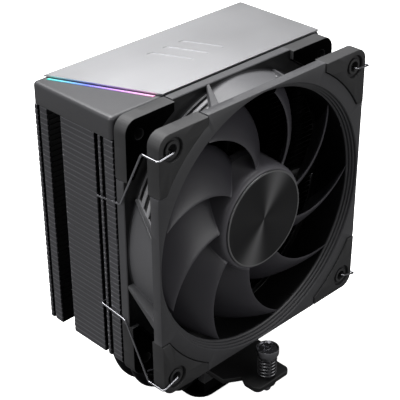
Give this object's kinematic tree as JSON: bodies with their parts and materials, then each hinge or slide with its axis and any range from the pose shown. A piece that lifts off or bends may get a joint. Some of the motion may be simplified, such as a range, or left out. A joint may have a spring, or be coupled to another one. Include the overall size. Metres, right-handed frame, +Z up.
{
  "type": "cpu tower cooler",
  "caption": "Tower cooler for a computer processor: finned block on heat pipes, black base, sprung mounting bar, framed fan held by wire clips, top cover with light strip.",
  "frame": {"origin": "centre of the cold plate's underside, which is the bottom centre of the whole part", "axes": "+Z up through the fins, the fan's intake faces -Y, +X to the right seen from the intake"},
  "size_m": [0.1228, 0.0992, 0.158],
  "materials": {
    "fin_aluminium": "black anodised folded sheet",
    "pipe_black_nickel": "black nickel plated tube",
    "plate_black_nickel": "black nickel plated copper",
    "block_aluminium": "milled aluminium",
    "bar_black_steel": "black coated steel",
    "bolt_black_steel": "blackened steel",
    "screw_steel": "dark nickel plated steel",
    "spring_steel": "bright steel",
    "clip_wire": "bright steel wire",
    "cover_dark": "dark grey satin plastic",
    "plate_satin": "satin brushed aluminium plate",
    "light_guide": "translucent light guide, teal to pink",
    "board_green": "printed circuit board",
    "frame_grey": "dark grey satin plastic",
    "pad_rubber": "black soft rubber",
    "blade_plastic": "dark satin plastic",
    "cap_spun_metal": "spun metal disc",
    "magnet_ferrite": "bonded ferrite",
    "bearing_brass": "brass sleeve",
    "stator_coil": "laminations with enamelled copper coils"
  },
  "bodies": {
    "root": {"fin_stack": "fin_aluminium", "heat_pipe_1": "pipe_black_nickel", "heat_pipe_2": "pipe_black_nickel", "heat_pipe_3": "pipe_black_nickel", "heat_pipe_4": "pipe_black_nickel", "cold_plate": "plate_black_nickel", "base_block": "block_aluminium", "crossbar": "bar_black_steel", "crossbar_bolt_1": "bolt_black_steel", "crossbar_bolt_2": "bolt_black_steel", "crossbar_bolt_3": "bolt_black_steel", "crossbar_bolt_4": "bolt_black_steel", "front_spring": "spring_steel", "rear_spring": "spring_steel", "cover_frame": "cover_dark", "top_plate": "plate_satin", "light_guide": "light_guide", "led_board": "board_green", "fan_frame": "frame_grey", "bearing": "bearing_brass", "stator": "stator_coil", "motor_board": "board_green", "front_pad_top_right": "pad_rubber", "front_pad_top_left": "pad_rubber", "front_pad_bottom_left": "pad_rubber", "front_pad_bottom_right": "pad_rubber", "rear_pad_top_right": "pad_rubber", "rear_pad_top_left": "pad_rubber", "rear_pad_bottom_left": "pad_rubber", "rear_pad_bottom_right": "pad_rubber"},
    "rotor": {"impeller": "blade_plastic", "hub_cap": "cap_spun_metal", "rotor_yoke": "screw_steel", "magnet_ring": "magnet_ferrite", "shaft": "spring_steel"},
    "left_clip": {"left_fan_clip": "clip_wire"},
    "right_clip": {"right_fan_clip": "clip_wire"},
    "front_press": {"front_retaining_ring": "bolt_black_steel"},
    "front_screw": {"front_spring_screw": "screw_steel"},
    "rear_press": {"rear_retaining_ring": "bolt_black_steel"},
    "rear_screw": {"rear_spring_screw": "screw_steel"}
  },
  "joints": [
    {"name": "rotor_spin", "type": "hinge", "parent": "root", "child": "rotor", "pos_m": [0, -0.0397, 0.098], "axis": [0, -1, 0], "continuous": true},
    {"name": "left_clip_swing", "type": "hinge", "parent": "root", "child": "left_clip", "pos_m": [-0.0525, -0.04285, 0.098], "axis": [0, 0, 1], "range_deg": [0, 20]},
    {"name": "right_clip_swing", "type": "hinge", "parent": "root", "child": "right_clip", "pos_m": [0.0525, -0.04285, 0.098], "axis": [0, 0, -1], "range_deg": [0, 20]},
    {"name": "front_screw_press", "type": "slide", "parent": "root", "child": "front_press", "axis": [0, 0, -1], "range_m": [0, 0.004], "stiffness_N_per_m": 3000, "springref_m": -0.003, "deforming": ["front_spring"]},
    {"name": "front_screw_turn", "type": "hinge", "parent": "front_press", "child": "front_screw", "pos_m": [0, -0.0445, 0.0185], "axis": [0, 0, -1], "continuous": true},
    {"name": "rear_screw_press", "type": "slide", "parent": "root", "child": "rear_press", "axis": [0, 0, -1], "range_m": [0, 0.004], "stiffness_N_per_m": 3000, "springref_m": -0.003, "deforming": ["rear_spring"]},
    {"name": "rear_screw_turn", "type": "hinge", "parent": "rear_press", "child": "rear_screw", "pos_m": [0, 0.0445, 0.0185], "axis": [0, 0, -1], "continuous": true}
  ]
}
